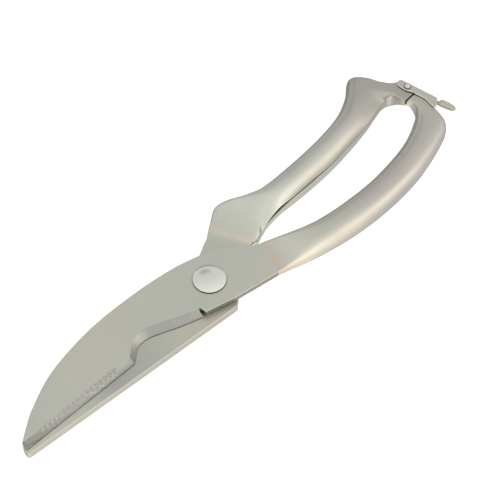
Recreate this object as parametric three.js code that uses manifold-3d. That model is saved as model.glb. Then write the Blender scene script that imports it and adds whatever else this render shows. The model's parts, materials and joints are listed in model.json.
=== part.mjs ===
// Poultry shears: two folded halves on one pivot, a spring between the plates and a safety lock.
// Millimetres. +X runs from the blade tips to the handle ends and +Z is the pivot's axis.
// The pieces are drawn round the pivot, with z = 0 half way between the two blade plates, and the
// last group moves them so that the shears lie on the plane z = 0.
import * as THREE from 'three';
import { mergeVertices } from 'three/addons/utils/BufferGeometryUtils.js';
import Module from 'manifold-3d';

const wasm = await Module();
wasm.setup();

// Plates
const BLADE_GAP = 0.3;
const FRONT_TOP = 3;
const BACK_BOTTOM = -4;
const FACE = BLADE_GAP / 2;
const FIT = 0.3;

// Folded handles
const SHEET = 1.3;
const SECTION_POWER = 3;
const SEAM_WIDTH = 1.1;
const SEAM_DEPTH = 3.4;

// Pivot
const HEAD_RADIUS = 7.05;
const HEAD_HEIGHT = 2.5;
const SHAFT_RADIUS = 2.9;
const HOLE_RADIUS = 3.2;
const WASHER_RADIUS = 6.2;
const WASHER_THICKNESS = 0.8;
const NUT_ACROSS_FLATS = 11;
const BED = -7.5;

// Inside spring
const WIRE_RADIUS = 0.4;
const COIL_RADIUS = 5.6;
const COIL_TURNS = 2;
const COIL_RISE = 1.84;
const LEG_REACH = 8.9;
const POCKET_RADIUS = 7.4;
const POCKET_DEPTH = 1.5;
const LOWER_LEG_ANGLE = THREE.MathUtils.degToRad(200);
const LEG_SLOT = [9.6, 1.8];

// Fish scaler: grooves across the ground edge of the front blade
const GROOVE_COUNT = 17;
const GROOVE_FIRST = [-96.5, -0.2];
const GROOVE_LAST = [-58.5, -1.9];
const GROOVE_WIDTH = 1.5;

// Safety lock: s runs along the strip from its rivet and t outwards from the handle ends
const LOCK_PIN = [134.3, 4.6];
const LOCK_ANGLE = THREE.MathUtils.degToRad(-82);
const LOCK_SHEET = 0.9;
const STRIP_BOTTOM = 5.7;
const STRIP_TOP = STRIP_BOTTOM + LOCK_SHEET;
const STRIP_OUT = 2.1;
const STRIP_IN = -1.3;
const STRIP_END = 14.3;
const CATCH_BOTTOM = 2.4;
const CATCH_IN = -0.7;
const RIVET_RADIUS = 0.75;
const RIVET_HOLE = 0.95;
const RIVET_HEAD = 1.5;
const RIVET_BOTTOM = 1;

// Ribs of the front handle, from the weld to the end: left edge, right edge, middle and half height
const FRONT_RIBS = [
  [27.6, -2.7, 22.5, -18.8, 1.58, 1.43],
  [33.1, -5, 29.7, -20.5, 0.9, 2.9],
  [45.5, -10.2, 42.7, -23.9, 0.2, 5.8],
  [56.5, -13.3, 55.4, -26.8, 0, 7.2],
  [70, -15.3, 70, -28.9, 0, 7.5],
  [85, -16.1, 85, -29.7, 0, 7.5],
  [100, -15, 101, -29, 0, 7.4],
  [110, -13.2, 113, -27, 0, 7],
  [118, -10.7, 122.9, -24.4, 0, 6.4],
  [122.9, -8.6, 129.1, -22.1, 0, 6],
  [126.3, -7, 132.2, -19.2, 0.1, 5.6],
  [128.9, -5, 133.6, -14.6, 0.8, 4.8],
  [129.6, -2.7, 135, -8.4, 1.9, 3.6],
  [129.3, -0.9, 135.6, -3.4, 3, 2.45],
  [128.3, 0.1, 135.8, 0.2, 3.55, 1.85],
];

// Ribs of the back handle
const BACK_RIBS = [
  [17.4, 17.5, 24.8, 0.4, -2.07, 1.93],
  [22.7, 20.9, 29, -0.4, -0.6, 3.2],
  [29.1, 24.4, 33.7, 1, -0.3, 4],
  [35.4, 23.2, 38.7, 2.2, -0.1, 5],
  [42.5, 19.3, 45.5, 2.8, 0, 6.2],
  [51.5, 16.2, 53, 3, 0, 7.1],
  [66, 15.4, 66, 2.7, 0, 7.5],
  [81, 15.7, 81, 2.7, 0, 7.5],
  [95, 17, 95.1, 3.9, 0, 7.4],
  [105, 19.5, 106.7, 5.3, 0, 7],
  [113.8, 23.5, 115.2, 7.1, 0, 6.4],
  [122, 28.8, 121.2, 8.5, 0, 6],
  [127.1, 24.4, 124.6, 8.7, 0, 5.7],
  [129.9, 16.6, 126.6, 8, 0.5, 5.1],
  [132.6, 12.4, 127.2, 6.3, 1.3, 4.2],
  [135.9, 9.7, 127.3, 4.3, 2.4, 3.05],
  [136.6, 5.2, 127.4, 2.3, 3.2, 2.2],
  [136.4, 0.75, 127.8, 0.65, 3.55, 1.85],
];

// A geometry as a manifold-3d solid.
function solidOf(geometry) {
  const bare = geometry.clone();
  bare.deleteAttribute('normal');
  bare.deleteAttribute('uv');
  const merged = mergeVertices(bare, 1e-4);
  return new wasm.Manifold(
    new wasm.Mesh({
      numProp: 3,
      vertProperties: merged.attributes.position.array,
      triVerts: merged.index.array,
    }),
  );
}

// A manifold-3d solid as a geometry.
function geometryOf(solid) {
  const mesh = solid.getMesh();
  const geometry = new THREE.BufferGeometry();
  geometry.setAttribute('position', new THREE.BufferAttribute(mesh.vertProperties, 3));
  geometry.setIndex(new THREE.BufferAttribute(mesh.triVerts, 1));
  const flat = geometry.toNonIndexed();
  flat.computeVertexNormals();
  return flat;
}

function piece(name, solid, material) {
  const mesh = new THREE.Mesh(geometryOf(solid), material);
  mesh.name = name;
  return mesh;
}

const points = (list) => list.map(([x, y]) => new THREE.Vector2(x, y));

// A flat plate of one outline, from one height to another.
function plate(shape, bottom, top) {
  const geometry = new THREE.ExtrudeGeometry(shape, { depth: top - bottom, bevelEnabled: false });
  geometry.translate(0, 0, bottom);
  return solidOf(geometry);
}

function cylinder(radius, bottom, top, sides = 32) {
  const geometry = new THREE.CylinderGeometry(radius, radius, top - bottom, sides);
  geometry.rotateX(Math.PI / 2);
  geometry.translate(0, 0, (bottom + top) / 2);
  return solidOf(geometry);
}

function box(width, depth, bottom, top) {
  const geometry = new THREE.BoxGeometry(width, depth, top - bottom);
  geometry.translate(0, 0, (bottom + top) / 2);
  return solidOf(geometry);
}

// A plate with ground edges: its bottom and top outlines have the same number of points, listed
// counterclockwise, and the faces between them slope where the two differ.
function groundPlate(bottomOutline, topOutline, bottom, top) {
  const count = bottomOutline.length;
  const position = [
    ...bottomOutline.flatMap((p) => [p.x, p.y, bottom]),
    ...topOutline.flatMap((p) => [p.x, p.y, top]),
  ];
  const index = [];
  for (const [a, b, c] of THREE.ShapeUtils.triangulateShape(bottomOutline, [])) {
    index.push(c, b, a);
  }
  for (const [a, b, c] of THREE.ShapeUtils.triangulateShape(topOutline, [])) {
    index.push(count + a, count + b, count + c);
  }
  for (let i = 0; i < count; i += 1) {
    const next = (i + 1) % count;
    index.push(i, next, count + next, i, count + next, count + i);
  }
  const geometry = new THREE.BufferGeometry();
  geometry.setAttribute('position', new THREE.Float32BufferAttribute(position, 3));
  geometry.setIndex(index);
  return solidOf(geometry);
}

// The place on a handle at u (0 to 1 along it), x across (1 is the left edge) and y in height.
function handlePoint(ribs, inset) {
  const left = new THREE.SplineCurve(points(ribs.map((rib) => [rib[0], rib[1]])));
  const right = new THREE.SplineCurve(points(ribs.map((rib) => [rib[2], rib[3]])));
  const height = new THREE.SplineCurve(points(ribs.map((rib) => [rib[4], rib[5]])));
  return (u, x, y) => {
    const a = left.getPoint(u);
    const b = right.getPoint(u);
    const h = height.getPoint(u);
    const centre = a.clone().add(b).multiplyScalar(0.5);
    const halfWidth = a.distanceTo(b) / 2 - inset;
    const across = a.clone().sub(b).normalize().multiplyScalar(x * halfWidth);
    return new THREE.Vector3(centre.x + across.x, centre.y + across.y, h.x + y * (h.y - inset));
  };
}

// The rounded section of a folded handle, |x|^n + |y|^n = 1.
function handleSection(sides) {
  const round = (value) => Math.sign(value) * Math.abs(value) ** (2 / SECTION_POWER);
  const outline = [];
  for (let i = 0; i < sides; i += 1) {
    const angle = ((i + 0.5) / sides) * 2 * Math.PI;
    outline.push(new THREE.Vector2(round(Math.cos(angle)), round(Math.sin(angle))));
  }
  return new THREE.Shape(outline);
}

// The body that the ribs describe between two places along it, shrunk by an inset.
function handleBody(ribs, inset, from, to, sides, steps) {
  const place = handlePoint(ribs, inset);
  const options = { depth: 1, steps, bevelEnabled: false };
  const geometry = new THREE.ExtrudeGeometry(handleSection(sides), options);
  const position = geometry.attributes.position;
  for (let i = 0; i < position.count; i += 1) {
    const u = THREE.MathUtils.lerp(from, to, position.getZ(i));
    const at = place(u, position.getX(i), position.getY(i));
    position.setXYZ(i, at.x, at.y, at.z);
  }
  return solidOf(geometry);
}

// The open seam along one edge of a handle: side is 1 for the left edge and -1 for the right.
function handleSeam(ribs, side, from, to, steps) {
  const place = handlePoint(ribs, 0);
  const outside = [];
  const inside = [];
  for (let i = 0; i <= steps; i += 1) {
    const u = THREE.MathUtils.lerp(from, to, i / steps);
    const edge = place(u, side, 0);
    const centre = place(u, 0, 0);
    const inward = centre.clone().sub(edge).setZ(0).normalize();
    outside.push(edge.clone().addScaledVector(inward, -1));
    inside.push(edge.clone().addScaledVector(inward, SEAM_DEPTH));
  }
  const outline = points([...outside, ...inside.reverse()].map((p) => [p.x, p.y]));
  return plate(new THREE.Shape(outline), -SEAM_WIDTH / 2, SEAM_WIDTH / 2);
}

function hollowHandle(ribs, side, cavity, seam) {
  const outer = handleBody(ribs, 0, 0, 1, 20, 46);
  const inner = handleBody(ribs, SHEET, cavity[0], cavity[1], 16, 34);
  return outer.subtract(inner).subtract(handleSeam(ribs, side, seam[0], seam[1], 34));
}

// The hollow for the spring's coil in a plate's inner face, with a slot for one of its legs.
function springPocket(legAngle, bottom, top) {
  const slot = box(LEG_SLOT[0] * 2, LEG_SLOT[1], bottom, top)
    .intersect(box(LEG_SLOT[0] * 2, LEG_SLOT[1], bottom, top).translate([LEG_SLOT[0], 0, 0]))
    .rotate([0, 0, THREE.MathUtils.radToDeg(legAngle)]);
  return cylinder(POCKET_RADIUS, bottom, top, 36).add(slot);
}

const upperLegAngle = LOWER_LEG_ANGLE + COIL_TURNS * 2 * Math.PI;

// Grooves of the fish scaler, square across the ground edge and rising with it.
function scalerGrooves() {
  const grooves = [];
  for (let i = 0; i < GROOVE_COUNT; i += 1) {
    const along = i / (GROOVE_COUNT - 1);
    const x = THREE.MathUtils.lerp(GROOVE_FIRST[0], GROOVE_LAST[0], along);
    const y = THREE.MathUtils.lerp(GROOVE_FIRST[1], GROOVE_LAST[1], along);
    const geometry = new THREE.CylinderGeometry(GROOVE_WIDTH / 2, GROOVE_WIDTH / 2, 3, 8);
    geometry.rotateX(THREE.MathUtils.degToRad(35));
    geometry.translate(x, y, FRONT_TOP + 0.2);
    grooves.push(solidOf(geometry));
  }
  return grooves.reduce((all, groove) => all.add(groove));
}

function frontBlade() {
  // Cutting edge, bone notch and nick: the lower face's x and y, then the upper face's.
  const ground = [
    [-106.5, -0.9, -105.8, 0.9],
    [-105.9, -1.5, -105.1, 0.6],
    [-49.4, -4.7, -50, -2.6],
    [-44.6, -1.4, -45.7, 0.5],
    [-42.8, -0.3, -43, 2.3],
    [-40, 0.1, -39.5, 3.1],
    [-36.4, -0.4, -35.6, 2.8],
    [-31.4, -2.4, -30.6, 0.8],
    [-25.5, -5.2, -24.6, -2.1],
    [-13.9, -9.6, -14.2, -7],
    [-13.7, -7.3, -13.8, -6.7],
    [-13, -7, -13, -6.6],
    [-12.8, -10, -12.8, -10],
  ];
  // Lower edge to the weld, then back over the other half to the spine.
  const square = [
    [1.5, -14.3],
    [22.2, -18.7],
    [27.2, -3],
    [25.9, -2.2],
    [21.1, 2.2],
    [16.7, 6.6],
    [11.1, 9.9],
  ];
  const spine = new THREE.SplineCurve(
    points([[6, 11.5], [-6, 15.1], [-25, 18], [-50, 19.2], [-75, 16.1], [-92, 9.7], [-106, 1.2]]),
  ).getPoints(24);
  spine.pop();
  const lower = points([...ground.map(([x, y]) => [x, y]), ...square]).concat(spine);
  const upper = points([...ground.map(([, , x, y]) => [x, y]), ...square]).concat(spine);
  return groundPlate(lower, upper, FACE, FRONT_TOP)
    .subtract(cylinder(HOLE_RADIUS, 0, FRONT_TOP + 1))
    .subtract(springPocket(upperLegAngle, FACE - 1, FACE + POCKET_DEPTH))
    .subtract(scalerGrooves());
}

function backBlade() {
  const square = [
    [-106.5, 0.7],
    [-107.2, -1.3],
    [-107.2, -2.6],
    [-106.5, -3.3],
    [-2.4, -15.8],
    [-0.3, -15.6],
    [1.7, -14.8],
    [3.6, -13.3],
    [12, -7],
    [24.5, 0.3],
    [17.1, 17.2],
    [12.4, 15.3],
    [8.6, 13.5],
    [5, 12.3],
    [1, 12.5],
    [-5, 11.9],
    [-10, 10.2],
  ];
  // The ground edge: the upper face's x and y, then the lower face's.
  const ground = [
    [-14, 8, -14, 7.8],
    [-17, 7.2, -17.5, 4.4],
    [-105.1, 2.8, -105.6, 1],
  ];
  const upper = points([...square, ...ground.map(([x, y]) => [x, y])]);
  const lower = points([...square, ...ground.map(([, , x, y]) => [x, y])]);
  return groundPlate(lower, upper, BACK_BOTTOM, -FACE)
    .subtract(cylinder(HOLE_RADIUS, BACK_BOTTOM - 1, 0))
    .subtract(springPocket(LOWER_LEG_ANGLE, -FACE - POCKET_DEPTH, -FACE + 1));
}

function frontHandle() {
  // The lock's catch drops into this notch in the outer end.
  const notch = points([[138, -8.2], [134, -8.3], [133.8, -11], [133.1, -12.1], [138, -13.5]]);
  const handle = hollowHandle(FRONT_RIBS, 1, [0.14, 0.77], [0.056, 0.81]);
  return handle.subtract(plate(new THREE.Shape(notch), -9, 9));
}

function backHandle() {
  const hole = cylinder(RIVET_HOLE, -9, 9, 20).translate([LOCK_PIN[0], LOCK_PIN[1], 0]);
  return hollowHandle(BACK_RIBS, -1, [0.11, 0.76], [0.06, 0.8]).subtract(hole);
}

// Domed head and plain shaft, turned in one piece.
function pivotBolt() {
  const seat = FRONT_TOP + FIT;
  const rim = 0.4;
  const rise = HEAD_HEIGHT - rim;
  const profile = [[0, BED + FIT], [SHAFT_RADIUS, BED + FIT], [SHAFT_RADIUS, seat], [HEAD_RADIUS, seat]];
  const domeSteps = 7;
  for (let i = 0; i < domeSteps; i += 1) {
    const along = Math.cos((i / domeSteps) * (Math.PI / 2));
    profile.push([HEAD_RADIUS * along, seat + rim + rise * (1 - along ** 2)]);
  }
  profile.push([0, seat + HEAD_HEIGHT]);
  const geometry = new THREE.LatheGeometry(points(profile), 36);
  geometry.rotateX(Math.PI / 2);
  return solidOf(geometry);
}

function pivotWasher() {
  const top = BACK_BOTTOM - FIT;
  const disc = cylinder(WASHER_RADIUS, top - WASHER_THICKNESS, top, 36);
  return disc.subtract(cylinder(HOLE_RADIUS, BED, 0));
}

function pivotNut() {
  const top = BACK_BOTTOM - FIT - WASHER_THICKNESS - FIT;
  const corners = NUT_ACROSS_FLATS / Math.sqrt(3);
  return cylinder(corners, BED, top, 6).subtract(cylinder(HOLE_RADIUS, BED - 1, 0));
}

// Two turns of wire with a straight leg at each end.
class SpringPath extends THREE.Curve {
  getPoint(t, target = new THREE.Vector3()) {
    const legPart = 0.08;
    const coil = THREE.MathUtils.clamp((t - legPart) / (1 - 2 * legPart), 0, 1);
    const leg = Math.max(legPart - t, t - (1 - legPart), 0) / legPart;
    const angle = LOWER_LEG_ANGLE + coil * COIL_TURNS * 2 * Math.PI;
    const radius = THREE.MathUtils.lerp(COIL_RADIUS, LEG_REACH, leg);
    return target.set(Math.cos(angle) * radius, Math.sin(angle) * radius, (coil - 0.5) * COIL_RISE);
  }
}

function insideSpring() {
  const wire = new THREE.Shape().absarc(0, 0, WIRE_RADIUS, 0, 2 * Math.PI);
  const options = { steps: 60, curveSegments: 4, extrudePath: new SpringPath() };
  return solidOf(new THREE.ExtrudeGeometry(wire, options));
}

// Outline of the lock's strip: heel, rivet end, straight bar, neck with thumb tab, and claw.
function stripOutline() {
  const shape = new THREE.Shape();
  shape.moveTo(-2.8, STRIP_IN - 0.5);
  shape.quadraticCurveTo(-5.8, -1, -5.2, 1.2);
  shape.quadraticCurveTo(-4.6, STRIP_OUT, -3.2, STRIP_OUT);
  shape.lineTo(STRIP_END, STRIP_OUT);
  shape.lineTo(14.9, 0.6);
  shape.lineTo(15.5, 0.5);
  shape.quadraticCurveTo(15.6, 2, 17, 2.2);
  shape.lineTo(20.3, 2.4);
  shape.quadraticCurveTo(24, 2.2, 23.9, 0.5);
  shape.quadraticCurveTo(23.6, -0.8, 22.4, -0.8);
  shape.lineTo(16.9, -1.5);
  shape.lineTo(16.1, -1.9);
  shape.lineTo(16.6, -3.7);
  shape.lineTo(16.2, -3.8);
  shape.quadraticCurveTo(15.9, -2, 11.6, STRIP_IN);
  shape.lineTo(3, STRIP_IN);
  shape.quadraticCurveTo(0, STRIP_IN - 1, -2.8, STRIP_IN - 0.5);
  return shape;
}

// The lock: a flat strip over both handle ends, with a catch bent down at its far end.
function safetyLock() {
  const strip = plate(stripOutline(), STRIP_BOTTOM, STRIP_TOP);
  const wall = box(LOCK_SHEET, STRIP_OUT - CATCH_IN, CATCH_BOTTOM, STRIP_TOP);
  const hole = cylinder(RIVET_HOLE, STRIP_BOTTOM - 1, STRIP_TOP + 1, 20);
  return strip
    .add(wall.translate([STRIP_END - LOCK_SHEET / 2, (STRIP_OUT + CATCH_IN) / 2, 0]))
    .subtract(hole);
}

// Low domed head above the strip and a plain end flush with the underside of the back handle.
function lockRivet() {
  const headBottom = STRIP_TOP + FIT;
  const profile = [
    [0, RIVET_BOTTOM],
    [RIVET_RADIUS, RIVET_BOTTOM],
    [RIVET_RADIUS, headBottom],
    [RIVET_HEAD, headBottom],
    [1.1, headBottom + 0.35],
    [0, headBottom + 0.5],
  ];
  const geometry = new THREE.LatheGeometry(points(profile), 20);
  geometry.rotateX(Math.PI / 2);
  return solidOf(geometry);
}

const satin = (color, roughness = 0.42) =>
  new THREE.MeshStandardMaterial({ color, roughness, metalness: 1 });

const backHalf = new THREE.Group();
backHalf.add(
  piece('back_blade', backBlade(), satin(0xa8a8a0)),
  piece('back_handle', backHandle(), satin(0xb4b4ae)),
  piece('pivot_bolt', pivotBolt(), satin(0xc4c6c4, 0.22)),
  piece('pivot_washer', pivotWasher(), satin(0xb0b0aa)),
  piece('pivot_nut', pivotNut(), satin(0xbcbcb8, 0.3)),
  piece('inside_spring', insideSpring(), satin(0x8c8c88, 0.35)),
);

const frontHalf = new THREE.Group();
frontHalf.add(
  piece('front_blade', frontBlade(), satin(0xb0b0a2)),
  piece('front_handle', frontHandle(), satin(0xb4b4ae)),
);

const lock = new THREE.Group();
lock.add(
  piece('safety_lock', safetyLock(), satin(0xacaca8, 0.36)),
  piece('lock_rivet', lockRivet(), satin(0xc0beb4, 0.28)),
);
lock.position.set(LOCK_PIN[0], LOCK_PIN[1], 0);
lock.rotation.z = LOCK_ANGLE;

const shears = new THREE.Group();
shears.add(backHalf, frontHalf, lock);
shears.updateMatrixWorld(true);
const bounds = new THREE.Box3().setFromObject(shears);
const middle = bounds.getCenter(new THREE.Vector3());
shears.position.set(-middle.x, -middle.y, -bounds.min.z);

export default shears;
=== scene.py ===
import json
import math

import bmesh
import bpy
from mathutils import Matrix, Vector

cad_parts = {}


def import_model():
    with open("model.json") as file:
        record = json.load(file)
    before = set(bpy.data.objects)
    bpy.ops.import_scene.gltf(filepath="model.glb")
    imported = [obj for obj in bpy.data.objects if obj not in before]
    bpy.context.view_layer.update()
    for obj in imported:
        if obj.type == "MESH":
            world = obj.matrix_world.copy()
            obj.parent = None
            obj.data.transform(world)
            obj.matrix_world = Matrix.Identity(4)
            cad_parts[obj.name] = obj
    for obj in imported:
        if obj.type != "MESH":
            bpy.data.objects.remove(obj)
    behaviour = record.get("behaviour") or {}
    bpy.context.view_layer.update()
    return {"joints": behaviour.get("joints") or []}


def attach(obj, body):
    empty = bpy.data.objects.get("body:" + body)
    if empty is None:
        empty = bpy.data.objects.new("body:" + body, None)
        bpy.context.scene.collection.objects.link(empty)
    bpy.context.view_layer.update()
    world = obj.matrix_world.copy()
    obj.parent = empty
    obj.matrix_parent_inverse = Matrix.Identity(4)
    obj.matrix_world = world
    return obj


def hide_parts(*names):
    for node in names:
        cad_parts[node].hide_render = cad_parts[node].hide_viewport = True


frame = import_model()

# Outlines are drawn in millimetres round the pivot, with z = 0 half way between the two plates.
MM = 0.001
JOINTS = {joint["name"]: Vector(joint["pos_m"]) for joint in frame["joints"]}
PIVOT = JOINTS["blade_pivot"]
LOCK_PIN = (JOINTS["lock_pivot"] - PIVOT) / MM
LOCK_ANGLE = math.radians(-82)

# Plates
FRONT_BOTTOM, FRONT_TOP = 0.15, 3.0
BACK_BOTTOM, BACK_TOP = -4.0, -0.15
EDGE_ROUND = 0.22

# Pivot
HEAD_RADIUS = 7.05
HEAD_TOP = 5.8
SHAFT_RADIUS = 2.9
POCKET_RADIUS = 7.4
POCKET_DEPTH = 1.5
WASHER_RADIUS = 6.2
WASHER_TOP, WASHER_BOTTOM = -4.05, -5.1
NUT_FLATS = 11.0
BED = -7.5

# Lock
STRIP_BOTTOM, STRIP_TOP = 5.7, 6.6
STRIP_OUT, STRIP_IN = 2.1, -1.3
STRIP_END = 14.3
CATCH_BOTTOM = 2.4
CATCH_IN = -0.7

# Ribs of the handles from the weld to the end: left x, y, right x, y, middle and half height
FRONT_RIBS = [
    (26.2, -2.5, 21.2, -18.4, 1.58, 1.44),
    (29.6, -3.6, 25.2, -19.4, 1.3, 2.02),
    (33.1, -5, 29.7, -20.5, 0.9, 2.9),
    (45.5, -10.2, 42.7, -23.9, 0.2, 5.8),
    (56.5, -13.3, 55.4, -26.8, 0, 7.2),
    (70, -15.3, 70, -28.9, 0, 7.5),
    (85, -16.1, 85, -29.7, 0, 7.5),
    (100, -15, 101, -29, 0, 7.4),
    (110, -13.2, 113, -27, 0, 7),
    (118, -10.7, 122.9, -24.4, 0, 6.4),
    (122.9, -8.6, 129.1, -22.1, 0, 6),
    (126.3, -7, 132.2, -19.2, 0.1, 5.6),
    (128.9, -5, 133.6, -14.6, 0.8, 4.8),
    (129.6, -2.7, 135, -8.4, 1.9, 3.6),
    (129.3, -0.9, 135.6, -3.4, 3, 2.45),
    (128.3, 0.05, 135.8, 0.15, 3.55, 1.85),
]
BACK_RIBS = [
    (16.2, 16.8, 23.6, 0, -2.07, 1.94),
    (18.7, 18.6, 26.1, 0.2, -1.9, 2.1),
    (22.7, 20.9, 29, -0.4, -0.95, 2.75),
    (29.1, 24.4, 33.7, 1, -0.3, 4),
    (35.4, 23.2, 38.7, 2.2, -0.1, 5),
    (42.5, 19.3, 45.5, 2.8, 0, 6.2),
    (51.5, 16.2, 53, 3, 0, 7.1),
    (66, 15.4, 66, 2.7, 0, 7.5),
    (81, 15.7, 81, 2.7, 0, 7.5),
    (95, 17, 95.1, 3.9, 0, 7.4),
    (105, 19.5, 106.7, 5.3, 0, 7),
    (113.8, 23.5, 115.2, 7.1, 0, 6.4),
    (122, 28.8, 121.2, 8.5, 0, 6),
    (127.1, 24.4, 124.6, 8.7, 0, 5.7),
    (129.9, 16.6, 126.6, 8, 0.5, 5.1),
    (132.6, 12.4, 127.2, 6.3, 1.3, 4.2),
    (135.9, 9.7, 127.3, 4.3, 2.4, 3.05),
    (136.6, 5.2, 127.4, 2.3, 3.2, 2.2),
    (136.4, 0.8, 127.8, 0.7, 3.55, 1.85),
]


# ---------------------------------------------------------------- curves

def lerp(a, b, t):
    return a + (b - a) * t


def smooth(a, b, x):
    t = min(max((x - a) / (b - a), 0.0), 1.0)
    return t * t * (3 - 2 * t)


def bump(centre, width, x):
    return math.exp(-(((x - centre) / width) ** 2))


def spline(rows, t):
    """A point at t (0 to 1) on the smooth curve through rows of numbers, evenly spaced in t."""
    last = len(rows) - 1
    place = min(max(t, 0.0), 1.0) * last
    i = min(int(place), last - 1)
    w = place - i
    before, a, b, after = rows[max(i - 1, 0)], rows[i], rows[i + 1], rows[min(i + 2, last)]
    point = []
    for p, q, r, s in zip(before, a, b, after):
        start, end = (r - p) / 2, (s - q) / 2
        cubic = 2 * q - 2 * r + start + end
        square = 3 * r - 3 * q - 2 * start - end
        point.append(((cubic * w + square) * w + start) * w + q)
    return point


def through(rows, steps):
    """The curve through rows as steps + 1 points."""
    return [spline(rows, i / steps) for i in range(steps + 1)]


def straight(rows, steps):
    """Straight stretches through rows, each in steps parts, ending on the last row."""
    points = []
    for a, b in zip(rows, rows[1:]):
        points += [[lerp(p, q, i / steps) for p, q in zip(a, b)] for i in range(steps)]
    return points + [list(rows[-1])]


# ---------------------------------------------------------------- meshes

def place(x, y, z):
    return PIVOT + Vector((x, y, z)) * MM


def lock_point(s, t, z):
    """s runs along the lock's strip from its rivet, t outwards from the handle ends."""
    along = Vector((math.cos(LOCK_ANGLE), math.sin(LOCK_ANGLE)))
    out = Vector((-along.y, along.x))
    flat = LOCK_PIN.xy + along * s + out * t
    return place(flat.x, flat.y, z)


def new_piece(name, mesh_maker, materials, sharp=32):
    """An object whose mesh a function fills, smooth apart from edges over sharp degrees."""
    mesh = bpy.data.meshes.new(name)
    for material in materials:
        mesh.materials.append(material)
    bm = bmesh.new()
    mesh_maker(bm)
    bmesh.ops.remove_doubles(bm, verts=bm.verts, dist=1e-7)
    bmesh.ops.recalc_face_normals(bm, faces=bm.faces)
    bm.to_mesh(mesh)
    bm.free()
    obj = bpy.data.objects.new(name, mesh)
    bpy.context.scene.collection.objects.link(obj)
    finish_shading(obj, sharp)
    return obj


def finish_shading(obj, sharp=32, level_faces_flat=False):
    """Smooth shading with sharp edges; a boolean's long level faces look clean only when flat."""
    obj.data.shade_smooth()
    obj.data.set_sharp_from_angle(angle=math.radians(sharp))
    if level_faces_flat:
        for polygon in obj.data.polygons:
            polygon.use_smooth = abs(polygon.normal.z) < 0.99999


def add_ring(bm, points):
    return [bm.verts.new(point) for point in points]


def bridge(bm, a, b, material=None):
    """Quads between two rings of the same length; material gives each face's slot by its place."""
    count = len(a)
    for i in range(count):
        j = (i + 1) % count
        face = bm.faces.new((a[i], a[j], b[j], b[i]))
        face.material_index = material(i) if material else 0


def cap(bm, ring, slot=0):
    bm.faces.new(ring).material_index = slot


def inset(points, amounts):
    """A closed outline (counterclockwise x, y) moved inwards by an amount at each point."""
    moved = []
    count = len(points)
    for i, amount in enumerate(amounts):
        before, here, after = points[i - 1], points[i], points[(i + 1) % count]
        tangent = (Vector(after) - Vector(before)).normalized()
        inward = Vector((-tangent.y, tangent.x))
        moved.append((here[0] + inward.x * amount, here[1] + inward.y * amount))
    return moved


def lathe(bm, profile, sides, at=(0, 0)):
    """A solid of revolution about a vertical axis; the profile's ends lie on the axis."""
    rings = []
    for radius, z in profile[1:-1]:
        turn = [2 * math.pi * i / sides for i in range(sides)]
        rings.append(add_ring(bm, [
            place(at[0] + radius * math.cos(a), at[1] + radius * math.sin(a), z) for a in turn
        ]))
    for a, b in zip(rings, rings[1:]):
        bridge(bm, a, b)
    for ring, (_, z) in ((rings[0], profile[0]), (rings[-1], profile[-1])):
        centre = bm.verts.new(place(at[0], at[1], z))
        for i in range(sides):
            bm.faces.new((centre, ring[i], ring[(i + 1) % sides]))


def cut(obj, cutter_maker, material):
    """Takes a closed shape out of a piece and gives the new faces a material."""
    cutter = new_piece("cutter", cutter_maker, [material])
    modifier = obj.modifiers.new("cut", "BOOLEAN")
    modifier.operation = "DIFFERENCE"
    modifier.solver = "EXACT"
    modifier.material_mode = "TRANSFER"
    modifier.object = cutter
    graph = bpy.context.evaluated_depsgraph_get()
    mesh = bpy.data.meshes.new_from_object(obj.evaluated_get(graph))
    obj.modifiers.clear()
    old = obj.data
    obj.data = mesh
    mesh.name = old.name
    bpy.data.meshes.remove(old)
    bpy.data.objects.remove(cutter)
    finish_shading(obj, level_faces_flat=True)


# ---------------------------------------------------------------- materials

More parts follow.
